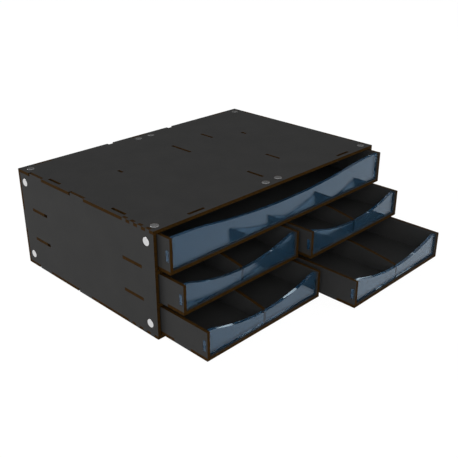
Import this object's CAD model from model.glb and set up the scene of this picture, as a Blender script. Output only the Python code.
import math

import bpy
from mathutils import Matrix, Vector


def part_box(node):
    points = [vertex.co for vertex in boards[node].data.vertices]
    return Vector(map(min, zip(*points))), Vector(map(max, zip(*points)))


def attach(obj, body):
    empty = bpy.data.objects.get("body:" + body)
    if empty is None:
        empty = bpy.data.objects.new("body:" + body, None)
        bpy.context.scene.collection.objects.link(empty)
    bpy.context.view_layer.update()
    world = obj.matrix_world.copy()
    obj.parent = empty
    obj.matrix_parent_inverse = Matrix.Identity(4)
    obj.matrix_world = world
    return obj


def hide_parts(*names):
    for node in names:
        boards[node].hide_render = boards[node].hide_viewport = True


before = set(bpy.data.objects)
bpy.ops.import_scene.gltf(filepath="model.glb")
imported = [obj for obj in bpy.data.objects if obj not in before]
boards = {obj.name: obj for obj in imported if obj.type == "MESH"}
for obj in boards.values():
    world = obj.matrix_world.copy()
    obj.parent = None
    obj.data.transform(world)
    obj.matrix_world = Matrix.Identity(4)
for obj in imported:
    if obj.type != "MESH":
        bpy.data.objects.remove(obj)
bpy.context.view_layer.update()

# View of the photograph
# The camera stands in front of the cabinet's left corner and looks down on it. Its place was
# solved from the corners, the magnets and the drawers' ends.
camera_place = (-0.45990, -0.49083, 0.33606)
camera_bearing = math.radians(-45.3789)
camera_dip = math.radians(25.2188)
camera_data = bpy.data.cameras.new("camera")
camera_data.lens = 55.0163
camera_data.sensor_width = 36
camera = bpy.data.objects.new("camera", camera_data)
camera.location = camera_place
camera.rotation_euler = (math.pi / 2 - camera_dip, 0, camera_bearing)
bpy.context.scene.collection.objects.link(camera)
bpy.context.scene.camera = camera


# Level boards: covers, shelves and drawer bases
# Three-millimetre fibreboard with a dyed black face, joined by tabs in slots. It is cut by laser, so
# that every edge shows brown, scorched fibre with fine marks along the beam.
face_dark = (0.0278, 0.0278, 0.0276, 1)
face_pale = (0.0320, 0.0317, 0.0313, 1)
face_limits = (0.35, 0.65)
edge_scorched = (0.011, 0.0050, 0.0006, 1)
edge_brown = (0.042, 0.0190, 0.0022, 1)
edge_limits = (0.35, 0.62)
cloud_scale = 45
grain_scale = 1300
mark_scale = 2600
mark_stretch = 0.12
cloud_share = 0.6
grain_share = 1 - cloud_share
face_roughness = 0.5
grain_roughness = 0.2
edge_roughness = 0.85
relief_strength = 0.25
relief_depth = 0.0002
board_gloss = 0.05
facing_limit = 0.5


def add_node(tree, kind, **values):
    node = tree.nodes.new(kind)
    for name, value in values.items():
        setattr(node, name, value)
    return node


def connect(tree, value, socket):
    """Links another node's output to the socket, or sets the socket to a plain number."""
    if isinstance(value, (int, float)):
        socket.default_value = value
    else:
        tree.links.new(value, socket)


def noise_on(tree, place, scale, detail, stretch=(1, 1, 1)):
    """Noise on the piece's own coordinates, stretched by its own factors along each axis."""
    mapping = add_node(tree, "ShaderNodeMapping")
    mapping.inputs["Scale"].default_value = stretch
    tree.links.new(place, mapping.inputs["Vector"])
    noise = add_node(tree, "ShaderNodeTexNoise")
    noise.inputs["Scale"].default_value = scale
    noise.inputs["Detail"].default_value = detail
    tree.links.new(mapping.outputs["Vector"], noise.inputs["Vector"])
    return noise.outputs["Fac"]


def ramp_on(tree, value, limits, low_colour, high_colour):
    """One colour below the limits, the other above them, and a blend between them."""
    ramp = add_node(tree, "ShaderNodeValToRGB")
    for stop, limit, colour in zip(ramp.color_ramp.elements, limits, (low_colour, high_colour)):
        stop.position = limit
        stop.color = colour
    tree.links.new(value, ramp.inputs["Fac"])
    return ramp.outputs["Color"]


def maths(tree, operation, first, second):
    node = add_node(tree, "ShaderNodeMath", operation=operation)
    for socket, value in zip(node.inputs, (first, second)):
        connect(tree, value, socket)
    return node.outputs["Value"]


def choose(tree, data_type, choice, if_not, if_so):
    """One value where the choice is 0 and the other where it is 1."""
    mix = add_node(tree, "ShaderNodeMix", data_type=data_type)
    connect(tree, choice, mix.inputs["Factor"])
    connect(tree, if_not, mix.inputs["A"])
    connect(tree, if_so, mix.inputs["B"])
    return mix.outputs["Result"]


def new_material(name):
    """A material, with its node tree and its main shader."""
    material = bpy.data.materials.new(name)
    material.use_nodes = True
    return material, material.node_tree, material.node_tree.nodes["Principled BSDF"]


def board_material(name, thickness_axis):
    """Black face where the board is seen flat on, scorched brown wherever the laser cut it."""
    material, tree, shader = new_material(name)
    place = add_node(tree, "ShaderNodeTexCoord")
    split = add_node(tree, "ShaderNodeSeparateXYZ")
    tree.links.new(place.outputs["Normal"], split.inputs["Vector"])
    facing = maths(tree, "ABSOLUTE", split.outputs[thickness_axis], 0)
    is_face = maths(tree, "GREATER_THAN", facing, facing_limit)

    spot = place.outputs["Object"]
    cloud = noise_on(tree, spot, cloud_scale, detail=3)
    grain = noise_on(tree, spot, grain_scale, detail=2)
    along_beam = [1, 1, 1]
    along_beam[thickness_axis] = mark_stretch
    marks = noise_on(tree, spot, mark_scale, detail=3, stretch=along_beam)

    face_mix = maths(tree, "ADD", maths(tree, "MULTIPLY", cloud, cloud_share),
                     maths(tree, "MULTIPLY", grain, grain_share))
    face_colour = ramp_on(tree, face_mix, face_limits, face_dark, face_pale)
    edge_colour = ramp_on(tree, marks, edge_limits, edge_scorched, edge_brown)
    tree.links.new(choose(tree, "RGBA", is_face, edge_colour, face_colour),
                   shader.inputs["Base Color"])
    face_rough = maths(tree, "ADD", maths(tree, "MULTIPLY", grain, grain_roughness),
                       face_roughness)
    tree.links.new(choose(tree, "FLOAT", is_face, edge_roughness, face_rough),
                   shader.inputs["Roughness"])

    bump = add_node(tree, "ShaderNodeBump")
    bump.inputs["Strength"].default_value = relief_strength
    bump.inputs["Distance"].default_value = relief_depth
    tree.links.new(choose(tree, "FLOAT", is_face, marks, grain), bump.inputs["Height"])
    tree.links.new(bump.outputs["Normal"], shader.inputs["Normal"])
    shader.inputs["Specular IOR Level"].default_value = board_gloss
    return material


def dress(names, material):
    for name in names:
        for slot in boards[name].material_slots:
            slot.material = material


drawers = ["wide_drawer", "middle_left_drawer", "middle_right_drawer", "bottom_left_drawer",
           "bottom_right_drawer"]
small_drawers = drawers[1:]
level_board = board_material("black_board_level", 2)
dress(["top_panel", "bottom_panel", "upper_shelf", "lower_shelf"], level_board)
dress([f"{drawer}_base" for drawer in drawers], level_board)

# Boards that stand lengthwise: sides, middle divider, drawer walls and drawer dividers
# The same sheet, with its thickness across the cabinet. The sides and the middle divider stand with
# their tabs in both covers, and a drawer's walls and divider with theirs in its base.
lengthwise_board = board_material("black_board_lengthwise", 0)
dress(["left_side_panel", "right_side_panel", "middle_divider"], lengthwise_board)
dress([f"{drawer}_left_wall" for drawer in drawers], lengthwise_board)
dress([f"{drawer}_right_wall" for drawer in drawers], lengthwise_board)
dress([f"{drawer}_divider" for drawer in small_drawers], lengthwise_board)

# Boards that stand crosswise: back panel and drawer backs
# The same sheet, with its thickness along the cabinet's depth. Tabs hold the back panel in the covers
# and the sides, and a drawer's back in its base and walls.
crosswise_board = board_material("black_board_crosswise", 1)
dress(["back_panel"], crosswise_board)
dress([f"{drawer}_back_wall" for drawer in drawers], crosswise_board)

# Magnets
# Discs of 8 by 3 mm, plated with nickel and pressed flush into round holes in the outer boards: eight
# in each cover and four in each side.
magnet_radius = 0.004
magnet_thickness = 0.003
magnet_sides = 48
rim_inset = 0.0006
rim_ease = 0.00045
rim_ease_steps = 3
cover_inset = 0.0086
side_inset = 0.0099
side_rise = 0.012
plate_dull = (0.56, 0.56, 0.57, 1)
plate_bright = (0.65, 0.65, 0.65, 1)
plate_limits = (0.3, 0.7)
plate_wear_scale = 900
plate_roughness = 0.16
wear_roughness = 0.08
magnet_material, magnet_tree, magnet_shader = new_material("nickel_plate")
magnet_shader.inputs["Metallic"].default_value = 1
magnet_spot = add_node(magnet_tree, "ShaderNodeTexCoord").outputs["Object"]
plate_wear = noise_on(magnet_tree, magnet_spot, plate_wear_scale, detail=3)
magnet_tree.links.new(ramp_on(magnet_tree, plate_wear, plate_limits, plate_dull, plate_bright),
                      magnet_shader.inputs["Base Color"])
plate_rough = maths(magnet_tree, "ADD", maths(magnet_tree, "MULTIPLY", plate_wear, wear_roughness),
                    plate_roughness)
magnet_tree.links.new(plate_rough, magnet_shader.inputs["Roughness"])


def active_object():
    return bpy.context.view_layer.objects.active


def to_edit():
    bpy.ops.object.mode_set(mode="EDIT")


def to_object():
    bpy.ops.object.mode_set(mode="OBJECT")


def pick_faces(piece, wanted):
    """Selects the faces whose middle, the mean of their corners, is wanted."""
    bpy.ops.mesh.select_all(action="DESELECT")
    bpy.ops.mesh.select_mode(type="FACE")
    to_object()
    points = piece.data.vertices
    for face in piece.data.polygons:
        middle = sum((points[i].co for i in face.vertices), Vector()) / len(face.vertices)
        face.select = bool(wanted(middle))
    to_edit()


def finish_piece(piece, ease, ease_steps, material):
    """Eases the sharp edges, and keeps the flat faces flat beside them."""
    sharp_angle = math.radians(28)
    bpy.ops.object.shade_smooth_by_angle(angle=sharp_angle)
    bevel = piece.modifiers.new("eased_edges", "BEVEL")
    bevel.width = ease
    bevel.segments = ease_steps
    bevel.limit_method = "ANGLE"
    bevel.angle_limit = sharp_angle
    bevel.harden_normals = True
    bpy.ops.object.modifier_apply(modifier=bevel.name)
    piece.data.materials.clear()
    piece.data.materials.append(material)


bpy.ops.object.select_all(action="DESELECT")
bpy.ops.mesh.primitive_cylinder_add(vertices=magnet_sides, radius=magnet_radius,
                                    depth=magnet_thickness)
disc = active_object()
to_edit()
pick_faces(disc, lambda middle: abs(middle.z) > magnet_thickness / 4)
bpy.ops.mesh.inset(thickness=rim_inset)
to_object()
finish_piece(disc, rim_ease, rim_ease_steps, magnet_material)


def place_discs(name, places, turn):
    """Copies the disc to each place, as one piece that stands for the CAD node of that name."""
    copies = []
    for place in places:
        copy = disc.copy()
        copy.data = disc.data.copy()
        bpy.context.scene.collection.objects.link(copy)
        copy.rotation_euler = turn
        copy.location = place
        copies.append(copy)
    bpy.ops.object.select_all(action="DESELECT")
    for copy in copies:
        copy.select_set(True)
    bpy.context.view_layer.objects.active = copies[0]
    bpy.ops.object.transform_apply(location=True, rotation=True, scale=True)
    bpy.ops.object.join()
    discs = active_object()
    discs.name = name + "_plated"
    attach(discs, "cabinet")
    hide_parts(name)


def cad_corners(name):
    """The lowest and the highest corner of a CAD node at rest.

    The frame holds them in single precision. Rounded to a tenth of a micrometre they are the
    dimensions that were meant, so that faces which lie on each other stay exactly so.
    """
    return [[round(value, 7) for value in corner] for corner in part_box(name)]


left, front_face, underside = cad_corners("bottom_panel")[0]
right, rear_face, top_face = cad_corners("top_panel")[1]
sunk = magnet_thickness / 2
cover_columns = (left + cover_inset, -cover_inset, cover_inset, right - cover_inset)
cover_rows = (front_face + cover_inset, rear_face - cover_inset)
side_columns = (front_face + side_inset, rear_face - side_inset)
side_heights = (underside + side_rise, top_face - side_rise)
upright = (0, 0, 0)
sideways = (0, math.pi / 2, 0)
for name, height in (("top_magnets", top_face - sunk), ("bottom_magnets", underside + sunk)):
    place_discs(name, [(x, y, height) for x in cover_columns for y in cover_rows], upright)
for name, x in (("left_side_magnets", left + sunk), ("right_side_magnets", right - sunk)):
    place_discs(name, [(x, y, z) for y in side_columns for z in side_heights], sideways)
bpy.data.objects.remove(disc)

# Clear fronts
# Smoky blue acrylic of 3 mm, cut by laser, with a finger scoop in its top edge. Two tabs hold it in
# the drawer's base and one in each wall, just behind the wall's front edge.
acrylic_tint = (0.68, 0.85, 0.97, 1)
acrylic_shine = (0.42, 0.58, 0.80, 1)
haze_colour = (0.13, 0.41, 0.76, 1)
haze_share = 0.045
sheet = 0.003
front_drop = 0.001
tab_length = 0.020
tab_place_share = 0.305
side_tab_height = 0.010
scoop_steps = 72
crest_steps = 10
cut_ease = 0.0001
cut_ease_steps = 1
tolerance = 0.0001


def mix_shaders(tree, share, first, second):
    """The first shader, with the second one in its share."""
    mix = add_node(tree, "ShaderNodeMixShader")
    connect(tree, share, mix.inputs["Fac"])
    tree.links.new(first, mix.inputs[1])
    tree.links.new(second, mix.inputs[2])
    return mix.outputs["Shader"]


acrylic, acrylic_tree, acrylic_shader = new_material("smoky_blue_acrylic")
acrylic_shader.inputs["Base Color"].default_value = acrylic_tint
acrylic_shader.inputs["Roughness"].default_value = 0.0
acrylic_shader.inputs["IOR"].default_value = 1.49
acrylic_shader.inputs["Transmission Weight"].default_value = 1.0
acrylic_shader.inputs["Specular Tint"].default_value = acrylic_shine
haze = add_node(acrylic_tree, "ShaderNodeBsdfDiffuse")
haze.inputs["Color"].default_value = haze_colour
acrylic_tree.links.new(mix_shaders(acrylic_tree, haze_share, acrylic_shader.outputs["BSDF"],
                                   haze.outputs["BSDF"]),
                       acrylic_tree.nodes["Material Output"].inputs["Surface"])


def clear_front(drawer, scoop_depth, land, crest_radius):
    """Acrylic front of a drawer, drawn with its front face on y = 0 and its tabs' feet on z = 0.

    The land is the straight stretch between each end of the top edge and the scoop's crest.
    """
    low, high = cad_corners(f"{drawer}_clear_front")
    width = high[0] - low[0]
    end = width / 2 - sheet
    top = high[2] - low[2]
    wall_height = top + front_drop
    crest_x = end - land
    scoop_radius = (crest_x ** 2 + scoop_depth ** 2) / (2 * scoop_depth) - crest_radius
    lean = math.atan2(crest_x, scoop_radius + crest_radius - scoop_depth)

    # One vertex at the left end of the top edge, drawn out along the land and round the arcs.
    bpy.ops.object.select_all(action="DESELECT")
    bpy.ops.mesh.primitive_plane_add(size=sheet)
    front = active_object()
    to_edit()
    bpy.ops.mesh.select_mode(type="VERT")
    bpy.ops.mesh.merge(type="CENTER")
    bpy.ops.transform.translate(value=(-end, 0, top))
    bpy.ops.mesh.extrude_region_move(TRANSFORM_OT_translate={"value": (land, 0, 0)})
    crest_height = top - crest_radius
    scoop_height = top - scoop_depth + scoop_radius
    for centre, steps, angle in (((-crest_x, 0, crest_height), crest_steps, -lean),
                                 ((0, 0, scoop_height), scoop_steps, 2 * lean),
                                 ((crest_x, 0, crest_height), crest_steps, -lean)):
        bpy.ops.mesh.spin(steps=steps, angle=angle, center=centre, axis=(0, 1, 0))
    bpy.ops.mesh.extrude_region_move(TRANSFORM_OT_translate={"value": (land, 0, 0)})

    # The line is drawn down to the base, and the face that makes is thickened.
    bpy.ops.mesh.select_all(action="SELECT")
    bpy.ops.mesh.extrude_region_move(TRANSFORM_OT_translate={"value": (0, 0, -top)})
    bpy.ops.transform.resize(value=(1, 1, 0), center_override=(0, 0, sheet))
    bpy.ops.mesh.select_all(action="SELECT")
    bpy.ops.mesh.extrude_region_move(TRANSFORM_OT_translate={"value": (0, sheet, 0)})

    # Cuts where the tabs begin and end, then two tabs down and one out at each side.
    tab_middle = tab_place_share * width
    side_middle = wall_height / 2
    tab_ends = [middle + reach for middle in (-tab_middle, tab_middle)
                for reach in (-tab_length / 2, tab_length / 2)]
    side_tab_ends = [side_middle - side_tab_height / 2, side_middle + side_tab_height / 2]
    cuts = [((x, 0, 0), (1, 0, 0)) for x in tab_ends]
    cuts += [((0, 0, z), (0, 0, 1)) for z in side_tab_ends]
    for place, normal in cuts:
        bpy.ops.mesh.select_all(action="SELECT")
        bpy.ops.mesh.bisect(plane_co=place, plane_no=normal)
    pick_faces(front, lambda middle: middle.z < sheet + tolerance
               and abs(abs(middle.x) - tab_middle) < tab_length / 2)
    bpy.ops.mesh.extrude_region_move(TRANSFORM_OT_translate={"value": (0, 0, -sheet)})
    for side in (-1, 1):
        pick_faces(front, lambda middle: side * middle.x > end - tolerance
                   and abs(middle.z - side_middle) < side_tab_height / 2)
        bpy.ops.mesh.extrude_region_move(
            TRANSFORM_OT_translate={"value": (side * sheet, 0, 0)})
    bpy.ops.mesh.select_all(action="SELECT")
    bpy.ops.mesh.remove_doubles(threshold=tolerance / 100)
    bpy.ops.mesh.dissolve_limited(angle_limit=math.radians(0.05))
    bpy.ops.mesh.normals_make_consistent(inside=False)
    to_object()
    finish_piece(front, cut_ease, cut_ease_steps, acrylic)
    return front


def fit_front(front, drawer):
    """Puts a copy of the front into its drawer, over the CAD node's own place."""
    low, high = cad_corners(f"{drawer}_clear_front")
    copy = front.copy()
    copy.data = front.data.copy()
    bpy.context.scene.collection.objects.link(copy)
    copy.location = ((low[0] + high[0]) / 2, low[1], low[2])
    bpy.ops.object.select_all(action="DESELECT")
    copy.select_set(True)
    bpy.context.view_layer.objects.active = copy
    bpy.ops.object.transform_apply(location=True, rotation=False, scale=False)
    copy.name = f"{drawer}_acrylic_front"
    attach(copy, drawer)
    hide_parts(f"{drawer}_clear_front")


wide_front = clear_front("wide_drawer", scoop_depth=0.0089, land=0.005, crest_radius=0.300)
small_front = clear_front("middle_left_drawer", scoop_depth=0.0112, land=0.003,
                          crest_radius=0.015)
fit_front(wide_front, "wide_drawer")
for drawer in small_drawers:
    fit_front(small_front, drawer)
bpy.data.objects.remove(wide_front)
bpy.data.objects.remove(small_front)

# Floor and light
# A white studio: a pale matt floor, pale surroundings, and three soft lamps, at the left in front and
# behind and at the right in front.
floor_radius = 6
floor_sides = 96
floor_grey = (0.75, 0.75, 0.75, 1)
white = (1, 1, 1, 1)
camera_white = 0.97
shadow_grey = (0.06, 0.06, 0.06, 1)
shade_reach = 0.03
shade_samples = 8
glass_white = 0.3
half_bounce = 0.5
room_limits = (0.40, 0.70)
room_low_light = (1.0, 1.0, 1.0, 1)
room_high_light = (0.2, 0.2, 0.2, 1)
mirrored_limits = (0.42, 0.75)
mirrored_low_light = (0.085, 0.085, 0.085, 1)
mirrored_high_light = (0.9, 0.9, 0.9, 1)
bpy.ops.object.select_all(action="DESELECT")
bpy.ops.mesh.primitive_circle_add(vertices=floor_sides, radius=floor_radius, fill_type="NGON")
floor = active_object()
floor.name = "studio_floor"
floor_material, floor_tree, floor_shader = new_material("studio_floor")
floor_shader.inputs["Base Color"].default_value = floor_grey
floor_shader.inputs["Roughness"].default_value = 1
floor_shader.inputs["Specular IOR Level"].default_value = 0
floor.data.materials.append(floor_material)


def white_seen(tree, camera_level, mirror_level, glass_level):
    """The level at which the camera, a mirror image and a view through glass see white.

    A ray that has already met a matt surface sees none of it, so that it adds no light.
    """
    path = add_node(tree, "ShaderNodeLightPath")
    through_glass = path.outputs["Is Transmission Ray"]
    mirrored = maths(tree, "SUBTRACT", path.outputs["Is Glossy Ray"], through_glass)
    seen = maths(tree, "MULTIPLY", path.outputs["Is Camera Ray"], camera_level)
    for kind, level in ((mirrored, mirror_level), (through_glass, glass_level)):
        seen = maths(tree, "MAXIMUM", seen, maths(tree, "MULTIPLY", kind, level))
    straight = maths(tree, "LESS_THAN", path.outputs["Diffuse Depth"], half_bounce)
    return maths(tree, "MULTIPLY", seen, straight)


# The camera sees a white floor with a faint shadow on it, and mirrors see plain white. So does glass,
# apart from the floor close to the object and under it, which glass sees as it is lit.
glow = add_node(floor_tree, "ShaderNodeEmission")
glow.inputs["Color"].default_value = white
floor_tree.links.new(white_seen(floor_tree, camera_white, 1, 1), glow.inputs["Strength"])
shadow = add_node(floor_tree, "ShaderNodeBsdfDiffuse")
shadow.inputs["Color"].default_value = shadow_grey
shadowed_glow = add_node(floor_tree, "ShaderNodeAddShader")
floor_tree.links.new(shadow.outputs["BSDF"], shadowed_glow.inputs[0])
floor_tree.links.new(glow.outputs["Emission"], shadowed_glow.inputs[1])
floor_path = add_node(floor_tree, "ShaderNodeLightPath")
white_floor = mix_shaders(floor_tree, floor_path.outputs["Is Camera Ray"],
                          glow.outputs["Emission"], shadowed_glow.outputs["Shader"])
open_floor = add_node(floor_tree, "ShaderNodeAmbientOcclusion", samples=shade_samples)
open_floor.inputs["Distance"].default_value = shade_reach
white_share = white_seen(floor_tree, 1, 1, open_floor.outputs["AO"])
floor_tree.links.new(mix_shaders(floor_tree, white_share, floor_shader.outputs["BSDF"],
                                 white_floor),
                     floor_tree.nodes["Material Output"].inputs["Surface"])

# The surroundings light the object most from the sides. Mirrors see them dim, and paler overhead.
world = bpy.data.worlds.new("studio")
world.use_nodes = True
bpy.context.scene.world = world
world_tree = world.node_tree
sky = world_tree.nodes["Background"]
sky.inputs["Color"].default_value = white
way = add_node(world_tree, "ShaderNodeSeparateXYZ")
world_tree.links.new(add_node(world_tree, "ShaderNodeTexCoord").outputs["Generated"],
                     way.inputs["Vector"])
height = way.outputs["Z"]
room = ramp_on(world_tree, height, room_limits, room_low_light, room_high_light)
mirrored_room = ramp_on(world_tree, height, mirrored_limits, mirrored_low_light,
                        mirrored_high_light)
world_path = add_node(world_tree, "ShaderNodeLightPath")
lit = choose(world_tree, "FLOAT", world_path.outputs["Is Glossy Ray"], room, mirrored_room)
world_tree.links.new(maths(world_tree, "MAXIMUM", lit, white_seen(world_tree, 1, 0, glass_white)),
                     sky.inputs["Strength"])

for name, place, width, power in (("key_lamp", (-1.9, -1.6, 1.4), 2.0, 28),
                                  ("rear_lamp", (-1.5, 1.9, 1.6), 2.0, 42),
                                  ("fill_lamp", (1.2, -2.0, 1.4), 1.5, 8)):
    lamp_data = bpy.data.lights.new(name, "AREA")
    lamp_data.size = width
    lamp_data.energy = power
    lamp = bpy.data.objects.new(name, lamp_data)
    lamp.location = place
    lamp.rotation_euler = (-Vector(place)).to_track_quat("-Z", "Y").to_euler()
    bpy.context.scene.collection.objects.link(lamp)
bpy.context.scene.view_settings.view_transform = "Standard"
